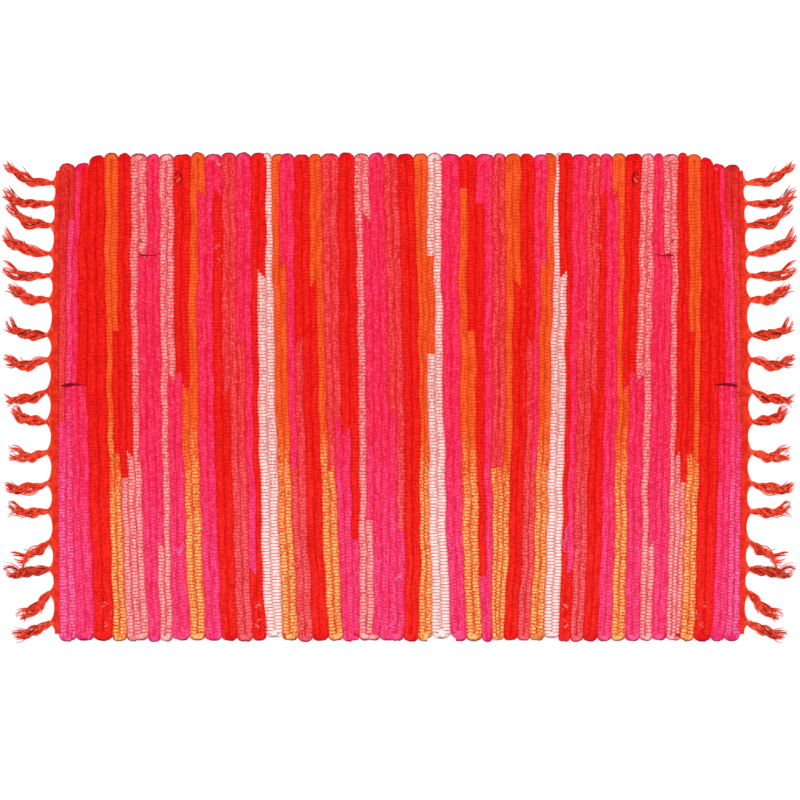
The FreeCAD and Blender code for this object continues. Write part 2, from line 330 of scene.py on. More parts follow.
@dataclass(frozen=True)
class RagFinish(Finish):
    """Crumpled cotton rag.

    Its dye at the far and the near selvedge, a darker colour that serves both its random dark streaks and
    mottle and the painted shade in the valleys between passes, and the light lint on its crests.
    """

    dye: Dye
    upper: tuple
    lower: tuple
    fold: tuple
    lint: tuple
    lint_upper: float = 0.05
    lint_lower: float = 0.15
    # How dark the painted shade in the valleys between passes is.
    valley_shade_depth: float = 0.46
    streak_depth: float = 0.55
    pit_depth: float = 0.6
    least_light: float = 0.24
    fade_from: float = 0.02
    fade_to: float = -0.22
    # Tone, streaks, mottle, specks and pits: how each noise is stretched along the rag, its scale, detail and
    # roughness.
    NOISES = (
        ("MULTIPLY", (0.2, 1.0, 0.0), 9.0, 2.0), ("MULTIPLY", (1.0, 0.08, 0.2), 520.0, 2.0, 0.6),
        ("MULTIPLY", (1.0, 0.7, 0.5), 560.0, 2.0, 0.6), ("MULTIPLY", (1.0, 0.8, 1.0), 460.0, 3.0, 0.65),
        ("ADD", (0.3, 0.0, 0.0), 520.0, 2.0, 0.6),
    )

    @property
    def name(self) -> str:
        """The material's name."""
        return f"rag_{self.dye.value}"

    def surface(self, tree: Tree) -> tuple[Wire, Wire, Wire]:
        """Fades the dye, streaks it along the rag, paints shade in valleys and on turn rims, dusts crests
        with lint.
        """
        place = tree.add("ShaderNodeTexCoord", output="Object")
        rag = tree.add("ShaderNodeAttribute", {"attribute_name": RAG_PLACE}, output="Vector")
        turned = tree.add("ShaderNodeAttribute", {"attribute_name": RAG_TURN}, output="Fac")
        _, across, height = tree.split(place)
        proud = abs(height - MIDDLE_HEIGHT)
        grain = tree.noise(place, 800.0, 2.0, 0.7)
        rough_edge = grain - 0.5
        tone, streaks, mottle, specks, pits = (
            tree.noise(tree.vector(how, rag, by), *look) for how, by, *look in self.NOISES
        )
        fade = tree.fit(across + (tree.noise(rag, 14.0) - 0.5) * 0.16, self.fade_from, self.fade_to)
        lint = tree.fit(fade, 0.0, 1.0, self.lint_upper, self.lint_lower)
        streak_light = tree.fit(lint, 0.0, 0.4, self.least_light, 0.8)
        mottle_light = tree.fit(lint, 0.0, 0.4, self.least_light, 0.7)
        crest = tree.fit(proud + rough_edge * 0.0012, 1.7 * MM, 2.4 * MM, 0.25, 1.0)
        rim_shade_from, rim_shade_to = MIDDLE_HEIGHT + 2.1 * MM, MIDDLE_HEIGHT + 0.8 * MM
        layers = (
            (tree.fit(streaks, 0.54, 0.40, 0.0, self.streak_depth), self.fold),
            (tree.fit(streaks, 0.50, 0.64, 0.0, self.streak_depth) * streak_light, self.lint),
            (tree.fit(tone, 0.55, 0.38, 0.0, 0.14), self.fold),
            (tree.fit(mottle, 0.52, 0.38, 0.0, 0.42), self.fold),
            (tree.fit(mottle, 0.50, 0.64, 0.0, 1.0) * mottle_light, self.lint),
            (tree.fit(specks + lint * 0.22, 0.54, 0.64) * tree.fit(lint, 0.0, 0.5) * crest, self.lint),
            (tree.fit(pits, 0.44, 0.36) * tree.fit(lint, 0.1, 0.6, 0.0, self.pit_depth), self.fold),
            # Painted shade: darker down the sides of each pass, into the valleys between neighbouring passes.
            (tree.fit(proud + rough_edge * 0.0006, 2.1 * MM, 0.9 * MM, 0.0, self.valley_shade_depth), self.fold),
            (tree.fit(grain, 0.56, 0.38, 0.0, 0.3), self.fold),
            # Painted shade: dark purple on the rim of each turn, below the rag's top.
            (tree.fit(height + rough_edge * 0.0016, rim_shade_from, rim_shade_to, 0.0, 0.85) * turned, TURN_RIM_SHADE),
        )
        colour = tree.mix(fade, self.upper, self.lower)
        for share, dye in layers:
            colour = tree.mix(share, colour, dye)
        return colour, tree.fit(grain, 0.3, 0.7, 0.82, 0.97), grain + streaks


@dataclass(frozen=True)
class ThreadFinish(Finish):
    """Thin twisted cotton thread, with darker stretches."""

    name: str
    light: tuple
    dark: tuple
    patch_scale: float = 160.0

    def surface(self, tree: Tree) -> tuple[Wire, Wire, Wire]:
        """Patches of two shades under a fine twist."""
        place = tree.add("ShaderNodeTexCoord", output="Object")
        patches = tree.noise(place, self.patch_scale, 3.0, 0.6)
        twist = tree.noise(place, 1400.0, 2.0, 0.6)
        colour = tree.mix(tree.fit(patches, 0.38, 0.62), self.light, self.dark)
        colour = tree.mix(tree.fit(twist, 0.55, 0.35, 0.0, 0.5), colour, self.dark)
        return colour, tree.fit(twist, 0.3, 0.7, 0.8, 0.95), twist


RAG_FINISHES = (
    RagFinish(Dye.RED, dyed(244, 14, 10), dyed(252, 26, 20), dyed(204, 3, 6), dyed(255, 70, 60)),
    RagFinish(Dye.HOT_PINK, dyed(250, 36, 90), dyed(252, 62, 140), dyed(220, 9, 58), dyed(255, 124, 172)),
    RagFinish(
        Dye.MAGENTA, dyed(248, 50, 98), dyed(244, 60, 124), dyed(216, 22, 90), dyed(255, 132, 196),
        lint_upper=0.15, lint_lower=0.4,
    ),
    RagFinish(
        Dye.ROSE, dyed(228, 34, 26), dyed(248, 56, 68), dyed(188, 12, 20), dyed(250, 90, 90),
        lint_upper=0.15, lint_lower=0.3, fade_from=0.21, fade_to=0.05,
    ),
    RagFinish(
        Dye.SALMON, dyed(246, 46, 56), dyed(250, 76, 92), dyed(200, 20, 32), dyed(255, 130, 134),
        lint_upper=0.15, lint_lower=0.3,
    ),
    RagFinish(
        Dye.PALE_PINK, dyed(248, 100, 108), dyed(248, 124, 132), dyed(204, 50, 64), dyed(255, 192, 190),
        lint_upper=0.34, lint_lower=0.6, valley_shade_depth=0.5,
    ),
    RagFinish(
        Dye.ORANGE, dyed(255, 100, 34), dyed(248, 118, 32), dyed(206, 50, 12), dyed(255, 208, 128),
        lint_upper=0.0, lint_lower=0.62, valley_shade_depth=0.45, pit_depth=0.9, least_light=0.05,
        fade_from=0.04, fade_to=-0.2,
    ),
    RagFinish(
        Dye.WHITE, dyed(242, 180, 172), dyed(250, 222, 216), dyed(206, 116, 116), dyed(252, 244, 240),
        lint_upper=0.36, lint_lower=0.9, valley_shade_depth=0.42, pit_depth=0.25,
    ),
)
WARP_FINISH = ThreadFinish("warp_cotton", dyed(244, 64, 36), dyed(224, 40, 24))
FRINGE_FINISH = ThreadFinish("fringe_cotton", dyed(255, 98, 62), dyed(222, 44, 28), 240.0)
# Painted shade: the dark red of the slits where the rags dive under their neighbours.
SLIT_SHADE_FINISH = ThreadFinish("painted_slit_shade", dyed(168, 6, 18), dyed(112, 0, 12))
STRAY_FINISH = ThreadFinish("stray_thread", dyed(168, 44, 34), dyed(104, 24, 24))
TUFT_FINISH = ThreadFinish("lint_tuft", dyed(255, 150, 142), dyed(232, 84, 84))
LINT_FINISH = ThreadFinish("lint_thread", dyed(252, 118, 184), dyed(242, 88, 156))


# ---------------------------------------------------------------- geometry trees


class GeometryTree(Tree):
    """A Geometry Nodes tree built in the script, with named inputs."""

    def __init__(self, name: str, inputs: dict[str, str]) -> None:
        super().__init__(bpy.data.node_groups.new(name, "GeometryNodeTree"))
        face = self.tree.interface
        face.new_socket("Geometry", in_out="INPUT", socket_type="NodeSocketGeometry")
        self.keys = {
            label: face.new_socket(label, in_out="INPUT", socket_type=kind).identifier
            for label, kind in inputs.items()
        }
        face.new_socket("Geometry", in_out="OUTPUT", socket_type="NodeSocketGeometry")
        self.source = self.tree.nodes.new("NodeGroupInput")

    def given(self, label: str) -> Wire:
        """The wire of a named input."""
        return Wire(self, self.source.outputs[label])

    def named(self, attribute: str, kind: str = "FLOAT") -> Wire:
        """The value of a named attribute."""
        return self.add("GeometryNodeInputNamedAttribute", {"data_type": kind}, {"Name": attribute})

    def finish(self, geometry: Wire) -> None:
        """Ends the tree: smoothed, realised, and given its finish and, where "second" is set, its second."""
        made = self.add("GeometryNodeSetShadeSmooth", inputs={0: geometry})
        made = self.add("GeometryNodeRealizeInstances", inputs={0: made})
        second = self.add("FunctionNodeCompare", inputs={0: self.named("second"), 1: 0.5})
        for material, chosen in ((self.given("Finish"), True), (self.given("Second Finish"), second)):
            dress = {0: made, "Selection": chosen, "Material": material}
            made = self.add("GeometryNodeSetMaterial", inputs=dress)
        self.add("NodeGroupOutput", inputs={0: made})

    def grow(self, name: str, lines: "Lines", values: dict[str, object]) -> bpy.types.Object:
        """Runs the tree on a set of lines and keeps the result as a plain mesh.

        Args:
            name: the new object's name.
            lines: the lines and their attributes.
            values: the tree's named inputs.

        Returns:
            A mesh object with no modifier, at the origin.
        """
        piece = bpy.data.objects.new(name, lines.mesh(name))
        bpy.context.scene.collection.objects.link(piece)
        modifier = piece.modifiers.new("grow", "NODES")
        modifier.node_group = self.tree
        for label, value in values.items():
            modifier[self.keys[label]] = value
        evaluated = piece.evaluated_get(bpy.context.evaluated_depsgraph_get())
        mesh = bpy.data.meshes.new_from_object(evaluated)
        piece.modifiers.clear()
        old, piece.data = piece.data, mesh
        bpy.data.meshes.remove(old)
        mesh.name = name
        for attribute in Lines.ATTRIBUTES:
            if attribute in mesh.attributes:
                mesh.attributes.remove(mesh.attributes[attribute])
        return piece


@dataclass
class Lines:
    """Polylines with what a geometry tree reads at each point."""

    ATTRIBUTES = ("centre", "half_width", "half_height", "lift", "second", "girth", "along")
    points: list = field(default_factory=list)
    attributes: dict = field(default_factory=dict)
    counts: list = field(default_factory=list)

    def add(self, points: np.ndarray, **attributes: np.ndarray) -> None:
        """Adds one polyline with its per-point attributes."""
        self.points.append(np.asarray(points, float))
        self.counts.append(len(points))
        for name, values in attributes.items():
            self.attributes.setdefault(name, []).append(np.broadcast_to(values, len(points)))

    def mesh(self, name: str) -> bpy.types.Mesh:
        """The lines as a mesh of edges."""
        points = np.concatenate(self.points)
        starts = np.cumsum([0] + self.counts[:-1])
        edges = np.concatenate([
            np.stack([np.arange(start, start + count - 1), np.arange(start + 1, start + count)], axis=1)
            for start, count in zip(starts, self.counts)
        ])
        made = bpy.data.meshes.new(name + "_lines")
        made.from_pydata(points.tolist(), edges.tolist(), [])
        made.attributes.new("centre", "FLOAT_VECTOR", "POINT").data.foreach_set("vector", points.ravel())
        for label, parts in self.attributes.items():
            values = np.concatenate(parts).astype(np.float32)
            made.attributes.new(label, "FLOAT", "POINT").data.foreach_set("value", values)
        return made


def rag_tree() -> GeometryTree:
    """Sweeps a flat-topped section along the weft, then crumples it and lifts it over and under the warp."""
    tree = GeometryTree("rag_weft", {
        "Section Points": "NodeSocketInt", "Ripple Depth": "NodeSocketFloat",
        "Crumple Depth": "NodeSocketFloat", "Crumple Scale": "NodeSocketFloat",
        "Waver Depth": "NodeSocketFloat", "Floor": "NodeSocketFloat",
        "Finish": "NodeSocketMaterial", "Second Finish": "NodeSocketMaterial",
    })
    curve = tree.add("GeometryNodeMeshToCurve", inputs={0: tree.given("Geometry")})
    curve = tree.add("GeometryNodeSetCurveNormal", {"mode": "Z_UP"}, {0: curve})
    corners = tree.given("Section Points")
    half_step = tree.maths("DIVIDE", math.pi, corners)
    flat = tree.maths("DIVIDE", 1.0, tree.maths("COSINE", half_step))
    ring = tree.add("GeometryNodeCurvePrimitiveCircle", inputs={"Resolution": corners, "Radius": flat})
    turn = tree.add("ShaderNodeCombineXYZ", inputs={2: half_step})
    ring = tree.add("GeometryNodeTransform", inputs={0: ring, "Rotation": turn})
    tube = tree.add("GeometryNodeCurveToMesh", inputs={0: curve, 1: ring, "Fill Caps": True})
    centre = tree.named("centre", "FLOAT_VECTOR")
    x, y, z = tree.split(tree.vector("SUBTRACT", tree.add("GeometryNodeInputPosition"), centre))
    wide, tall, lift = tree.named("half_width"), tree.named("half_height"), tree.named("lift")
    shape = tree.add("ShaderNodeCombineXYZ", inputs={0: x * wide, 1: y * wide, 2: z * tall})
    along = tree.add("ShaderNodeCombineXYZ", inputs={1: tree.named("along")})
    rag = tree.vector("ADD", tree.vector("MULTIPLY", shape, (1.0, 0.0, 1.0)), along)
    storing = {"data_type": "FLOAT_VECTOR", "domain": "POINT"}
    tube = tree.add("GeometryNodeStoreNamedAttribute", storing, {0: tube, "Name": RAG_PLACE, "Value": rag})
    place = tree.vector("ADD", centre, shape)
    waver = (tree.noise(place, 210.0) - 0.5) * tree.given("Waver Depth")
    place = tree.vector("ADD", place, tree.add("ShaderNodeCombineXYZ", inputs={1: waver}))
    folds = tree.noise(place, tree.given("Crumple Scale")) - 0.5
    rise = lift * tree.given("Ripple Depth") + folds * tree.given("Crumple Depth") * z
    place = tree.vector("ADD", place, tree.add("ShaderNodeCombineXYZ", inputs={2: rise}))
    x, y, z = tree.split(place)
    z = tree.maths("MAXIMUM", z, tree.given("Floor"))
    place = tree.add("ShaderNodeCombineXYZ", inputs={0: x, 1: y, 2: z})
    tube = tree.add("GeometryNodeSetPosition", inputs={0: tube, "Position": place})
    tree.finish(tube)
    return tree


def thread_tree() -> GeometryTree:
    """Turns lines into round threads whose radius follows their girth."""
    tree = GeometryTree("cotton_threads", {
        "Thread Radius": "NodeSocketFloat", "Sides": "NodeSocketInt", "Finish": "NodeSocketMaterial",
        "Second Finish": "NodeSocketMaterial",
    })
    curve = tree.add("GeometryNodeMeshToCurve", inputs={0: tree.given("Geometry")})
    girth = tree.named("girth") * tree.given("Thread Radius")
    section = {"Resolution": tree.given("Sides"), "Radius": 1.0}
    ring = tree.add("GeometryNodeCurvePrimitiveCircle", inputs=section)
    tube = tree.add("GeometryNodeCurveToMesh", inputs={0: curve, 1: ring, "Scale": girth, "Fill Caps": True})
    tree.finish(tube)
    return tree


def thread_values(
    radius: float, finish: bpy.types.Material, second: bpy.types.Material | None = None,
) -> dict[str, object]:
    """The inputs of thread_tree: four-sided threads of a radius, in one finish or two."""
    return {"Thread Radius": radius, "Sides": 4, "Finish": finish, "Second Finish": second or finish}


# ---------------------------------------------------------------- the loom


@dataclass
class Loom:
    """Where each pass of weft and each warp thread lies in the finished cloth.

    A lane counts passes along the mat: 0 is the left edge of the first, 96 the right edge of the last.
    """

    field_end: float = -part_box("rag_strip_01_magenta")[0].x
    selvedge: float = CAD_HIGH.y
    middle: float = MIDDLE_HEIGHT + 0.05 * MM
    bundles: int = 17
    threads: int = 17
    bundle_pitch: float = 28.6 * MM
    wander: float = 0.35 * MM
    drop: float = 11 * MM
    corner_start: float = 52 * MM
    corner_reach: float = 36 * MM
    pull_in: float = 1.5 * MM
    edge_calm: float = 12 * MM
    middle_line: tuple[float, float, float] = (-2 * MM, 4.5 * MM, 5 * MM)
    seed: int = 11

    def __post_init__(self) -> None:
        """Lays out the passes from the weaver's widths."""
        self.thread_pitch = self.bundle_pitch / self.threads
        self.thread_count = self.bundles * self.threads
        self.reach = (self.thread_count - 1) * self.thread_pitch / 2
        self.left = self.spread(LEFT_PASSES)
        self.right = self.spread(RIGHT_PASSES)
        self.passes = len(self.left) + len(self.right)
        random = np.random.default_rng(self.seed)
        self.waves = random.uniform(0.045, 0.21, 4)
        steps = random.normal(0.0, 0.7, (4, self.passes + 1))
        self.phases = np.cumsum(steps, axis=1) + random.uniform(0, 6, (4, 1))

    def spread(self, groups: tuple) -> np.ndarray:
        """One row of far, middle and near widths for each pass of the groups."""
        return np.repeat([np.array(g[1:]) / g[0] for g in groups], [g[0] for g in groups], axis=0)

    def pull(self, across: np.ndarray) -> np.ndarray:
        """How far each end is drawn in towards the middle at places across the mat."""
        share = np.clip(np.asarray(across, float) / self.reach, -1, 1)
        return self.pull_in * np.abs(share) ** 1.5

    def edges(self, across: np.ndarray) -> np.ndarray:
        """The X of the lines between passes.

        Args:
            across: places from selvedge to selvedge.

        Returns:
            One row for each place, with a column for each line between passes.
        """
        share = np.clip(np.asarray(across, float) / self.reach, -1, 1)[:, None]
        bend = share * share
        parts = (bend + share) / 2, 1 - bend, (bend - share) / 2
        end = self.field_end - self.pull(across)[:, None]
        left = sum(part * self.left[:, i] for i, part in enumerate(parts))
        right = sum(part * self.right[:, i] for i, part in enumerate(parts))
        middle = sum(part * self.middle_line[i] for i, part in enumerate(parts))
        left = np.cumsum(left, axis=1) * (end + middle) / left.sum(axis=1, keepdims=True) - end
        right = np.cumsum(right, axis=1) * (end - middle) / right.sum(axis=1, keepdims=True) + middle
        lines = np.concatenate([-end, left, right], axis=1)
        turns = 2 * math.pi * share[..., None] * self.reach / self.waves
        sway = np.sin(turns + self.phases.T[None]).sum(axis=2) * self.wander
        return lines + sway * np.minimum(1, (end - np.abs(lines)) / self.edge_calm)

    def place(self, lane: np.ndarray, across: np.ndarray, height: np.ndarray) -> np.ndarray:
        """Points in the cloth.

        Args:
            lane: places along the mat, counted in passes.
            across: places from selvedge to selvedge.
            height: heights above the floor.

        Returns:
            The points, one row each.
        """
        lines = self.edges(across)
        low = np.clip(np.floor(lane).astype(int), 0, self.passes - 1)
        rows = np.arange(len(lane))
        x = lines[rows, low] + (lines[rows, low + 1] - lines[rows, low]) * (lane - low)
        return np.stack([x, self.settle(x, across), np.broadcast_to(height, len(lane))], axis=1)

    def settle(self, x: np.ndarray, across: np.ndarray) -> np.ndarray:
        """The Y that a place across the mat settles to, since the far corners were pulled in."""
        corner = np.clip((np.abs(x) - self.field_end + self.corner_start) / self.corner_reach, 0, 1)
        corner = corner * corner * (3 - 2 * corner)
        return across - self.drop * corner * ((across + self.selvedge) / (2 * self.selvedge)) ** 2

    def half_width(self, number: int, across: np.ndarray) -> np.ndarray:
        """Half the width of a pass at places across the mat."""
        lines = self.edges(across)
        return (lines[:, number] - lines[:, number - 1]) / 2


# ---------------------------------------------------------------- the weft


@dataclass
class RagStrip:
    """One strip of rag, woven in from one place in the weft to another."""

    number: int
    dye: Dye
    start: float
    end: float
    loom: Loom
    half_height: float = 2.05 * MM
    ripple: float = 0.38 * MM
    crumple: float = 0.7 * MM
    crumple_scale: float = 170.0
    waver: float = 2.6 * MM
    fullness: float = 1.10
    splice: float = 10 * MM
    turn_steps: int = 10
    far_square: float = 0.62
    near_square: float = 0.36
    overlap: float = 0.3
    end_shift: float = 0.45
    end_width: float = 0.06
    end_height: float = 0.35
    section_points: int = 8
    cut_width: float = 12 * MM
    turn_seed: int = 900
    tuck_seed: int = 700

    @property
    def node(self) -> str:
        """The CAD node that this strip stands for."""
        return f"rag_strip_{self.number:02d}_{self.dye.value}"

    @staticmethod
    def squared(angle: np.ndarray, square: float) -> tuple[np.ndarray, np.ndarray]:
        """How far a squarish bend has gone round and out, from 0 to 1, at angles from its start."""
        round_share = (1 - np.sign(np.cos(angle)) * np.abs(np.cos(angle)) ** square) / 2
        return round_share, np.sin(angle) ** square

    def straight(self, number: int, first: float, last: float) -> dict[str, np.ndarray]:
        """The stretch of one pass between two shares of its length.

        Args:
            number: the pass.
            first: where the stretch starts, from 0 to 1 in the weaving direction.
            last: where it ends.

        Returns:
            Lane, across, half width, lift and place in the weft for each ring.
        """
        loom = self.loom
        rings = 2 * (loom.thread_count - 1)
        steps = np.arange(round(first * rings), round(last * rings) + 1)
        share = steps / rings
        across = loom.reach * (2 * share - 1) * (1 if number % 2 else -1)
        thread = (across + loom.reach) / loom.thread_pitch
        lift = -np.cos(math.pi * (thread + number))
        return {
            "lane": np.full(len(steps), number - 0.5), "across": across, "lift": lift,
            "half_width": loom.half_width(number, across), "along": number + share,
            "turned": np.zeros(len(steps)),
        }

    def turn(self, number: int) -> dict[str, np.ndarray]:
        """The turn round the selvedge from one pass into the next, with the same facts as a straight."""
        loom = self.loom
        sign = 1 if number % 2 else -1
        angle = np.linspace(0, math.pi, self.turn_steps + 2)[1:-1]
        end = np.array([sign * loom.reach])
        before, after = loom.half_width(number, end)[0], loom.half_width(number + 1, end)[0]
        radius = (before + after) / 2
        random = np.random.default_rng(self.turn_seed + number)
        room = loom.selvedge - loom.reach - radius
        out = room - self.fullness * radius + random.uniform(-1.6, 0.6) * MM - SHORT_TURNS.get(number, 0.0)
        share, bulge = self.squared(angle, self.far_square if sign > 0 else self.near_square)
        lump = 1 + random.uniform(-0.12, 0.12) * np.sin(2 * angle)
        lump = lump + random.uniform(-0.06, 0.06) * np.sin(5 * angle)
        return {
            "lane": number - 0.5 + share, "across": sign * (loom.reach + (radius + out) * bulge * lump),
            "lift": np.zeros(len(angle)), "half_width": before + (after - before) * share,
            "along": np.full(len(angle), number + 1 - 1e-6), "turned": np.minimum(1, np.sin(angle) * 1.5),
        }

    def tuck(self, number: int, forward: bool) -> dict[str, np.ndarray]:
        """A cut end at the near selvedge, turned in towards the strip's own next pass.

        Args:
            number: the pass that the end belongs to.
            forward: whether the strip ends here; otherwise it starts here.

        Returns:
            The same facts as a straight.
        """
        loom = self.loom
        sign = (1 if number % 2 else -1) * (1 if forward else -1)
        angle = np.linspace(0, math.pi / 2 + self.overlap, self.turn_steps // 2 + 1)[1:]
        share, bulge = self.squared(angle, self.far_square if sign > 0 else self.near_square)
        end = np.array([sign * loom.reach])
        radius = loom.half_width(number, end)[0]
        random = np.random.default_rng(self.tuck_seed + number)
        room = loom.selvedge - loom.reach - self.fullness * radius
        out = max(room + random.uniform(-1.4, 0.5) * MM, 0.5 * MM)
        if (number + 1 if forward else number) in SHORT_TUCKS:
            out -= SHORT_TUCK
        way = -1 if forward else 1
        part = {
            "lane": number - 0.5 + way * share, "across": sign * (loom.reach + out * bulge),
            "lift": np.zeros(len(angle)), "half_width": np.full(len(angle), radius),
            "along": np.full(len(angle), number + (1 - 1e-6 if forward else 0)),
            "turned": np.minimum(1, np.sin(angle) * 1.5),
        }
        return part if forward else {key: values[::-1] for key, values in part.items()}

    def lines(self) -> Lines:
        """The strip's middle line, with its width, height and lift at each ring."""
        parts = []
        length = 2 * self.loom.reach
        early = 0.0 if self.start % 1 == 0 else self.splice / 2 / length
        late = 0.0 if self.end % 1 == 0 else self.splice / 2 / length
        first, last = self.start - early, self.end + late
        if not early:
            parts.append(self.tuck(int(first), forward=False))
        for number in range(int(first), math.ceil(last)):
            low, high = max(first - number, 0.0), min(last - number, 1.0)
            parts.append(self.straight(number, low, high))
            if last > number + 1:
                parts.append(self.turn(number))
        if not late:
            parts.append(self.tuck(int(last) - 1, forward=True))
        ring = {key: np.concatenate([part[key] for part in parts]) for key in parts[0]}
        share = np.ones(len(ring["along"]))
        shift = np.zeros(len(share))
        for cut, room, side in ((self.start, early, -1), (self.end, late, 1)):
            if room:
                kept = np.clip((cut - ring["along"]) * side / room / 2 + 0.5, 0, 1)
                share *= kept
                shift += (1 - kept) * side
        points = self.loom.place(ring["lane"] + shift * self.end_shift, ring["across"], self.loom.middle)
        made = Lines()
        _, low, high = INLAYS.get(self.number, (None, 0.0, 0.0))
        narrowing = self.end_width + (1 - self.end_width) * share
        thinning = self.end_height + (1 - self.end_height) * np.sqrt(share)
        made.add(
            points, half_width=ring["half_width"] * self.fullness * narrowing,
            half_height=self.half_height * thinning, lift=ring["lift"],
            second=(ring["along"] >= low) & (ring["along"] < high),
            along=ring["along"] * length, rag_turn=ring["turned"],
        )
        return made

    def build(self, tree: GeometryTree, finishes: dict[Dye, bpy.types.Material]) -> bpy.types.Object:
        """Weaves the strip and ties it to the frame.

        Args:
            tree: the weft's geometry tree.
            finishes: the rag materials by dye.

        Returns:
            The strip's piece.
        """
        second = INLAYS[self.number][0] if self.number in INLAYS else self.dye
        values = {
            "Section Points": self.section_points, "Ripple Depth": self.ripple, "Crumple Depth": self.crumple,
            "Crumple Scale": self.crumple_scale, "Waver Depth": self.waver, "Floor": FLOOR_CLEARANCE,
            "Finish": finishes[self.dye], "Second Finish": finishes[second],
        }
        piece = tree.grow(f"rag_{self.number:02d}_{self.dye.value}", self.lines(), values)
        if self.number in FOLD_STRIPS:
            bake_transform(piece, "left_half", "right_half", start=FOLD_START, end=FOLD_END)
        else:
            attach(piece, "left_half" if self.end <= FOLD_LANE + 1 else "right_half")
        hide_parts(self.node)
        length = (self.end - self.start) * 2 * self.loom.selvedge
        return piece


def rag_strips(loom: Loom) -> list[RagStrip]:
    """Every strip of the weft, with the dye that its CAD node is named for."""
    dyes = {int(name[10:12]): Dye(name[13:]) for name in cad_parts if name.startswith("rag_strip_")}
    starts = np.round(np.cumsum((1, *STRIP_LENGTHS)), 4)
    return [
        RagStrip(number, dyes[number], float(starts[number - 1]), float(starts[number]), loom)
        for number in sorted(dyes)
    ]


# ---------------------------------------------------------------- the warp, headers and fringe


@dataclass
class Header:
    """A few thin picks that close the weave at one end."""

    side: Side
    loom: Loom
    picks: int = 3
    near_squeeze: float = 0.45
    far_squeeze: float = 0.65
    half_width: float = 1.15 * MM
    half_height: float = 1.0 * MM
    ripple: float = 0.3 * MM

    def __post_init__(self) -> None:
        """Takes the header's place from the frame."""
        low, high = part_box(f"{self.side.word}_header")
        self.inner, self.outer = sorted((abs(low.x), abs(high.x)))
        self.pitch = (self.outer - self.inner) / self.picks

    def place(self, out: float, across: np.ndarray, height: np.ndarray) -> np.ndarray:
        """Points at a distance from the mat's middle, drawn in with the cloth."""
        across = np.asarray(across, float)
        share = across / self.loom.reach
        most = np.where(share > 0, self.far_squeeze, self.near_squeeze)
        squeeze = 1 - most * np.minimum(1, np.abs(share)) ** 1.5
        x = self.inner + (out - self.inner) * squeeze - self.loom.pull(across)
        y = self.loom.settle(np.full(len(across), self.loom.field_end), across)
        return np.stack([x * self.side.value, y, np.broadcast_to(height, len(across))], axis=1)

    def lines(self) -> Lines:
        """The picks' middle lines."""
        made = Lines()
        threads = np.arange(0, self.loom.thread_count - 0.75, 0.5)
        across = threads * self.loom.thread_pitch - self.loom.reach
        for pick in range(self.picks):
            out = self.inner + (pick + 0.5) * self.pitch
            lift = -np.cos(math.pi * (threads + pick))
            made.add(
                self.place(out, across, self.loom.middle), half_width=self.half_width,
                half_height=self.half_height, lift=lift, second=0.0, along=across + pick,
            )
        return made

    def build(self, tree: GeometryTree, finish: bpy.types.Material) -> bpy.types.Object:
        """Weaves the header and ties it to its half of the frame."""
        values = {
            "Section Points": 6, "Ripple Depth": self.ripple, "Crumple Depth": 0.5 * MM,
            "Crumple Scale": 300.0, "Waver Depth": 0.0, "Floor": FLOOR_CLEARANCE, "Finish": finish,
            "Second Finish": finish,
        }
        piece = tree.grow(f"{self.side.word}_header_picks", self.lines(), values)
        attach(piece, self.side.body)
        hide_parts(f"{self.side.word}_header")
        return piece


@dataclass
class WarpBundle:
    """Neighbouring warp threads that run the whole length of the mat, from tassel to tassel."""

    number: int
    loom: Loom
    headers: tuple[Header, Header]
    radius: float = 0.34 * MM
    over: float = 1.78 * MM
    header_over: float = 1.15 * MM
    shoulder: float = 0.28
    jitter: float = 0.14 * MM
    seed: int = 300

    def thread(self, index: int, across: float) -> np.ndarray:
        """One thread's points from one end of the mat to the other."""
        loom = self.loom
        lanes, heights = [0.0], [0.0]
        for number in range(1, loom.passes + 1):
            over = self.over if (number + index) % 2 == 0 else -self.over
            lanes += [number - 0.5 - self.shoulder, number - 0.5 + self.shoulder, number]
            heights += [over, over, 0.0]
        lanes = np.array(lanes, float)
        body = loom.place(lanes, np.full(len(lanes), across), loom.middle + np.array(heights))
        ends = [self.header_part(header, index, across) for header in self.headers]
        return np.concatenate([ends[0][::-1], body, ends[1]])

    def header_part(self, header: Header, index: int, across: float) -> np.ndarray:
        """The thread's points through one header, from the mat outwards."""
        picks = [
            header.place(
                header.inner + (pick + 0.5) * header.pitch, [across],
                self.loom.middle + self.header_over * (1 if (pick + index) % 2 == 0 else -1),
            )
            for pick in range(header.picks)
        ]
        last = header.place(header.outer + 0.4 * MM, [across], self.loom.middle)
        return np.concatenate([*picks, last])

    def build(self, tree: GeometryTree, finish: bpy.types.Material) -> bpy.types.Object:
        """Runs the threads through the cloth; the bundle bends where the mat folds."""
        random = np.random.default_rng(self.seed + self.number)
        made = Lines()
        for thread in range(self.loom.threads):
            index = self.number * self.loom.threads + thread
            across = index * self.loom.thread_pitch - self.loom.reach
            made.add(self.thread(index, across + random.uniform(-self.jitter, self.jitter)), girth=1.0)
        values = thread_values(self.radius, finish)
        piece = tree.grow(f"warp_bundle_{self.number + 1:02d}", made, values)
        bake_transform(piece, "left_half", "right_half", start=FOLD_START, end=FOLD_END)
        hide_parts("left_warps", "right_warps")
        return piece


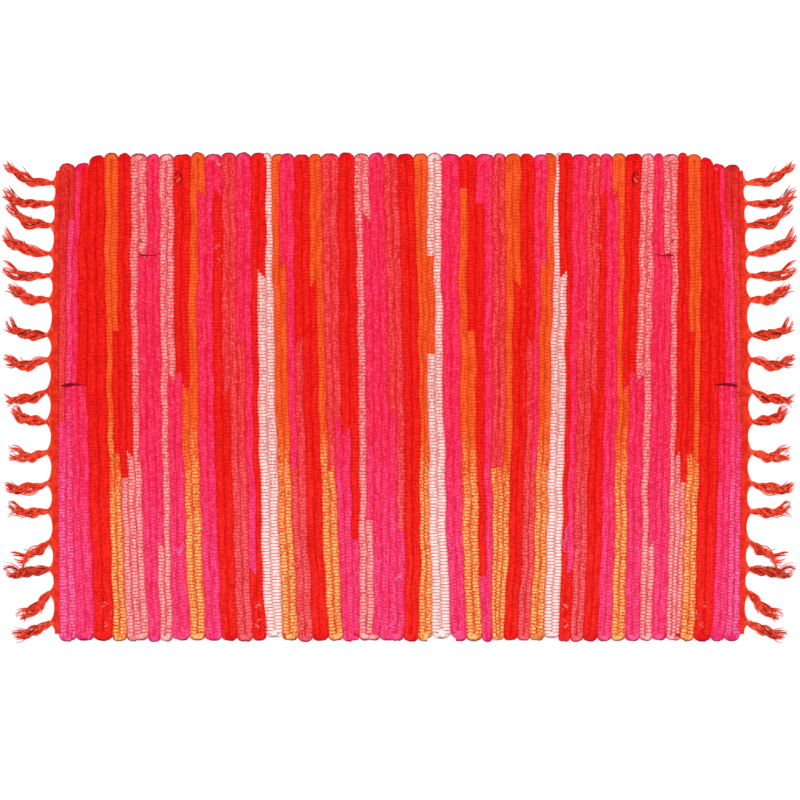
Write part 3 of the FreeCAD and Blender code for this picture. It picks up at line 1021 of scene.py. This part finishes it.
@dataclass
class Tassel:
    """The ends of the warp threads nearest one knot, gathered, tied and left loose on the floor."""

    number: int
    side: Side
    header: Header
    loom: Loom
    web: float = 5.0 * MM
    knot_height: float = 2.4 * MM
    tip_height: float = 1.4 * MM
    tip_from: float = 9.6 * MM
    radius: float = 0.58 * MM
    knot_radius: float = 1.35 * MM
    knot_length: float = 2.4 * MM
    plies: int = 3
    ply_threads: int = 12
    ply_offset: float = 3.4 * MM
    ply_radius: float = 2.7 * MM
    strays: int = 5
    lowest: float = 0.65 * MM
    highest: float = 4.3 * MM
    sag: float = 0.13
    dark_share: float = 0.10
    seed: int = 5000

    def __post_init__(self) -> None:
        """Finds the threads of the tassel, its knot and its tip."""
        reach, pitch = self.loom.reach, self.loom.thread_pitch
        knots = [place[0] * MM for place in TASSEL_PLACES]
        knots = [2 * reach - knots[0], *knots, -2 * reach - knots[-1]]
        self.across, out, across = knots[self.number], *TASSEL_PLACES[self.number - 1][1:]
        high, low = [(knots[self.number + i] + knots[self.number + 1 + i]) / 2 for i in (-1, 0)]
        threads = np.arange(self.loom.thread_count) * pitch - reach
        self.threads = threads[(threads <= high + pitch / 4) & (threads > low + pitch / 4)]
        root = self.header.place(self.header.outer, [self.across], 0.0)[0]
        self.knot = root + np.array([self.side.value * self.web, 0.0, self.knot_height])
        reach = self.header.outer + self.tip_from + out * MM
        self.tip = np.array([self.side.value * reach, self.across + across * MM, self.tip_height])
        way = (self.tip - self.knot) * (1, 1, 0)
        self.length = np.linalg.norm(way)
        self.way = way / self.length
        self.aside = np.array([-self.way[1], self.way[0], 0.0]) * self.side.value
        self.random = np.random.default_rng(self.seed + self.number)

    def gathered(self, made: Lines) -> None:
        """The threads drawn together from the header to the knot."""
        for thread in self.threads:
            offset = thread - self.across
            start, lean = (
                self.header.place(self.header.outer + out, [self.across + offset * part], self.loom.middle)[0]
                for out, part in ((-0.5 * MM, 1.0), (0.8 * MM, 0.3))
            )
            end = self.knot + np.array([0.0, offset * 0.07, self.random.uniform(-1.0, 1.0) * MM])
            share = np.linspace(0, 1, 8)[:, None]
            path = start * (1 - share) ** 2 + lean * 2 * share * (1 - share) + end * share ** 2
            made.add(path, girth=np.linspace(1.0, 1.2, 8), second=0.0)

    def wrap(self, made: Lines) -> None:
        """The coil of thread that makes the knot."""
        angle = np.linspace(0, 2 * math.pi * 3.5, 40)
        share = angle / angle[-1]
        swell = self.knot_radius * (0.85 + 0.3 * np.sin(math.pi * share))
        path = self.knot + self.way * ((share - 0.3) * self.knot_length)[:, None]
        path = path + self.aside * (np.cos(angle) * swell)[:, None]
        path[:, 2] = np.clip(path[:, 2] + np.sin(angle) * swell, self.lowest, self.highest)
        made.add(path, girth=1.2, second=0.0)

    def spine(self, share: np.ndarray) -> np.ndarray:
        """The middle line of the loose part, which sags towards the near selvedge and waves a little."""
        down = -1 if self.aside[1] > 0 else 1
        phase = self.number * 2.4
        side = down * self.sag * self.length * np.sin(share * math.pi) * (1 if self.number < 13 else 0.45)
        side = side + 0.9 * MM * np.sin(phase + share * 9.0) * np.minimum(1, share * 3)
        path = self.knot + self.way * (share * self.length)[:, None] + self.aside * side[:, None]
        path[:, 2] = self.knot[2] + (self.tip[2] - self.knot[2]) * share
        return path

    def loose(self, made: Lines) -> None:
        """The loose ends past the knot: three plies that twist together, part and fray at the tip."""
        random = self.random
        twist = random.uniform(0.9, 1.5)
        for ply in range(self.plies):
            start = ply * 2 * math.pi / self.plies + random.uniform(0, 1)
            part = random.normal(0, 2.2) * MM
            for _ in range(self.ply_threads):
                share = np.linspace(0, random.uniform(0.84, 1.06), 18)
                angle = start + twist * 2 * math.pi * share
                opened = self.ply_offset * (0.3 + 0.7 * np.minimum(1, share * 3.5))
                inside = random.normal(0, 0.45, 2) * self.ply_radius
                spread = 0.45 + 0.55 * np.minimum(1, share * 3.5)
                fray = random.normal(0, 1.5) * MM * np.maximum(0, share - 0.55) ** 1.5 * 3.0
                side = np.cos(angle) * opened + inside[0] * spread + part * share ** 2 + fray
                path = self.spine(share) + self.aside * side[:, None]
                path[:, 2] += np.sin(angle) * opened * 0.75 + inside[1]
                path[:, 2] = np.clip(path[:, 2], self.lowest, self.highest)
                dark = float(random.random() < self.dark_share)
                made.add(path, girth=1.0 - 0.55 * (share / share[-1]) ** 4, second=dark)

    def stray(self, made: Lines) -> None:
        """Single threads that have come away from the rest and curl on the floor."""
        random = self.random
        for _ in range(self.strays):
            share = np.linspace(0, 1, 16)
            start, reach = random.uniform(0.1, 0.6), random.uniform(0.25, 0.5)
            side = random.choice((-1, 1)) * random.uniform(3.0, 7.5) * MM
            curl = random.uniform(-1.4, 1.4) * MM * np.sin(share * random.uniform(5, 10))
            path = self.spine(start + share * reach) + self.aside * (side * share ** 1.3 + curl)[:, None]
            path[:, 2] = self.lowest + (1 - share) * 1.5 * MM
            made.add(path, girth=0.75 - 0.25 * share, second=1.0)

    def build(
        self, tree: GeometryTree, finish: bpy.types.Material, stray: bpy.types.Material,
    ) -> bpy.types.Object:
        """Makes the tassel and ties it to its half of the frame.

        Args:
            tree: the thread tree.
            finish: the cotton of most of the threads.
            stray: the darker cotton of the rest.

        Returns:
            The tassel's piece.
        """
        made = Lines()
        self.gathered(made)
        self.wrap(made)
        self.loose(made)
        self.stray(made)
        values = thread_values(self.radius, finish, stray)
        piece = tree.grow(f"{self.side.word}_tassel_{self.number:02d}", made, values)
        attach(piece, self.side.body)
        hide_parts(f"{self.side.word}_tassels")
        return piece


@dataclass
class Creases:
    """Painted shade on the slits where the rags dive under their neighbours, much the same at both ends of
    the mat.
    """

    side: Side
    loom: Loom
    half_height: float = 0.45 * MM
    height: float = 2.05 * MM

    def build(self, tree: GeometryTree, finish: bpy.types.Material) -> bpy.types.Object:
        """Lays the painted slit shade on the passes and ties it to its half of the frame."""
        made = Lines()
        share = np.linspace(0, 1, 14)
        top = self.loom.middle + self.height
        for start, end, arch, width, shift in SLIT_SHADES:
            move = shift * MM if self.side is Side.RIGHT else 0.0
            bend = arch * MM * np.sin(share * math.pi)
            line = np.outer(1 - share, start) * MM + np.outer(share, end) * MM
            way = (np.array(end) - start) / np.hypot(*np.subtract(end, start))
            x, across = line[:, 0] - way[1] * bend, line[:, 1] + way[0] * bend
            place = -self.side.value * x + move, self.loom.settle(x, across), np.full(len(x), top)
            full = width * MM * np.minimum(1, share * 6 + 0.2) * (1 - share ** 1.5 * 0.85)
            made.add(
                np.stack(place, axis=1), half_width=full, half_height=self.half_height, lift=0.0, second=0.0,
                along=across,
            )
        values = {
            "Section Points": 6, "Ripple Depth": 0.0, "Crumple Depth": 0.2 * MM, "Crumple Scale": 400.0,
            "Waver Depth": 0.6 * MM, "Floor": FLOOR_CLEARANCE, "Finish": finish, "Second Finish": finish,
        }
        piece = tree.grow(f"{self.side.word}_creases", made, values)
        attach(piece, self.side.body)
        return piece


@dataclass
class Tufts:
    """Specks of pale lint that stand out of the darker rags, much the same at both ends of the mat."""

    side: Side
    loom: Loom
    length: float = 2.6 * MM
    radius: float = 0.62 * MM
    seed: int = 60

    def build(self, tree: GeometryTree, finish: bpy.types.Material) -> bpy.types.Object:
        """Lays the tufts on the passes and ties them to their half of the frame."""
        made = Lines()
        share = np.linspace(0, 1, 7)
        for number, (x, y, count, shift) in enumerate(TUFTS):
            move = shift * MM if self.side is Side.RIGHT else 0.0
            random = np.random.default_rng(self.seed + number)
            for _ in range(count):
                angle, bend = random.uniform(0, 6.3), random.uniform(-1, 1)
                reach = self.length * random.uniform(0.5, 1.0)
                heading = angle + bend * share
                across = y * MM + random.normal(0, 2.4) * MM + reach * share * np.sin(heading)
                along = x * MM + random.normal(0, 1.2) * MM + reach * share * np.cos(heading)
                height = self.loom.middle + (2.0 + 0.35 * np.sin(share * math.pi)) * MM
                place = -self.side.value * along + move, self.loom.settle(along, across), height
                made.add(np.stack(place, axis=1), girth=1.0 - 0.5 * share)
        values = thread_values(self.radius, finish)
        piece = tree.grow(f"{self.side.word}_tufts", made, values)
        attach(piece, self.side.body)
        return piece


@dataclass
class LooseThreads:
    """Single threads that have worked loose from a rag and curl on top of the cloth."""

    name: str
    body: str
    lane: float
    across: float
    loom: Loom
    count: int = 6
    length: float = 9 * MM
    radius: float = 0.5 * MM

    def build(self, tree: GeometryTree, finish: bpy.types.Material) -> bpy.types.Object:
        """Lays the threads on the cloth and ties them to their half of the frame."""
        random = np.random.default_rng(int(self.lane * 10))
        made = Lines()
        for _ in range(self.count):
            share = np.linspace(0, 1, 22)
            curl = random.uniform(0.15, 0.4) * np.sin(share * random.uniform(3, 6) + random.uniform(0, 6))
            lane = self.lane + random.uniform(-0.4, 0.4) + curl
            across = self.across + random.uniform(-12, 12) * MM
            across = across + share * self.length * random.uniform(0.6, 1)
            height = self.loom.middle + (2.3 + 0.15 * np.sin(share * 20)) * MM
            made.add(self.loom.place(lane, across, height), girth=1.0)
        values = thread_values(self.radius, finish)
        piece = tree.grow(self.name, made, values)
        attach(piece, self.body)
        return piece


# ---------------------------------------------------------------- the studio


@dataclass
class Studio:
    """A plain pale floor, soft light all round and a camera straight above the mat."""

    floor_half: float = 4.0
    camera_height: float = 2.4
    view_width: float = 0.820
    aim: tuple[float, float] = (0.0005, -0.003)
    world_strength: float = 0.84
    floor_glow: float = 0.25

    def build(self) -> None:
        """Sets the floor, the lights, the world and the camera."""
        self.floor()
        self.light("key", (0.9, 1.3, 2.6), 1.8, 25.0)
        self.light("fill", (-1.4, -0.6, 2.4), 2.2, 11.0)
        world = bpy.data.worlds.new("studio")
        bpy.context.scene.world = world
        world.use_nodes = True
        light = world.node_tree.nodes["Background"].inputs
        light["Color"].default_value = (1.0, 1.0, 1.0, 1.0)
        light["Strength"].default_value = self.world_strength
        bpy.context.scene.view_settings.view_transform = "Standard"
        self.camera()

    def floor(self) -> None:
        """The plain floor that the mat lies on."""
        corner = self.floor_half
        mesh = bpy.data.meshes.new("floor")
        corners = [(-corner, -corner, 0), (corner, -corner, 0), (corner, corner, 0), (-corner, corner, 0)]
        mesh.from_pydata(corners, [], [(0, 1, 2, 3)])
        made = bpy.data.materials.new("floor")
        made.use_nodes = True
        tree = Tree(made.node_tree)
        made.node_tree.nodes.clear()
        shader = tree.add("ShaderNodeBsdfPrincipled", inputs={
            "Base Color": (0.96, 0.96, 0.96, 1.0), "Roughness": 0.9, "Emission Color": (1.0, 1.0, 1.0, 1.0),
            "Emission Strength": self.floor_glow,
        })
        tree.add("ShaderNodeOutputMaterial", inputs={"Surface": shader})
        mesh.materials.append(made)
        floor = bpy.data.objects.new("floor", mesh)
        bpy.context.scene.collection.objects.link(floor)

    def light(self, name: str, place: tuple[float, float, float], size: float, power: float) -> None:
        """A soft square lamp that faces the mat."""
        data = bpy.data.lights.new(name, "AREA")
        data.size, data.energy = size, power
        lamp = bpy.data.objects.new(name, data)
        lamp.location = place
        lamp.rotation_euler = (-Vector(place)).to_track_quat("-Z", "Y").to_euler()
        bpy.context.scene.collection.objects.link(lamp)

    def camera(self) -> None:
        """The camera, straight above."""
        data = bpy.data.cameras.new("camera")
        data.lens = data.sensor_width * self.camera_height / self.view_width
        camera = bpy.data.objects.new("camera", data)
        camera.location = (*self.aim, self.camera_height)
        bpy.context.scene.collection.objects.link(camera)
        bpy.context.scene.camera = camera


def report(kind: str, piece: bpy.types.Object) -> bpy.types.Object:
    """Logs a piece and hands it on."""
    log.info("%s %s: %d faces", kind, piece.name, len(piece.data.polygons))
    return piece


def main() -> None:
    """Builds the mat, then the studio."""
    logging.basicConfig(level=logging.INFO, format="%(message)s")
    finishes = {finish.dye: finish.material() for finish in RAG_FINISHES}
    cotton, fringe, stray = WARP_FINISH.material(), FRINGE_FINISH.material(), STRAY_FINISH.material()
    weft, threads = rag_tree(), thread_tree()
    loom = Loom()
    for strip in rag_strips(loom):
        report("rag strip", strip.build(weft, finishes))
    headers = Header(Side.LEFT, loom), Header(Side.RIGHT, loom)
    for header in headers:
        report("header", header.build(weft, cotton))
    for number in range(loom.bundles):
        report("warp bundle", WarpBundle(number, loom, headers).build(threads, cotton))
    for header in headers:
        for number in range(1, loom.bundles + 1):
            report("tassel", Tassel(number, header.side, header, loom).build(threads, fringe, stray))
    # The first finish is the painted shade of the slits between the rags.
    shaded_slits, lint, pale = SLIT_SHADE_FINISH.material(), LINT_FINISH.material(), TUFT_FINISH.material()
    for side in Side:
        report("creases", Creases(side, loom).build(weft, shaded_slits))
        report("tufts", Tufts(side, loom).build(threads, pale))
    for name, body, lane, across in LOOSE_THREADS:
        report("loose threads", LooseThreads(name, body, lane, across, loom).build(threads, lint))
    Studio().build()


if __name__ == "__main__":
    main()
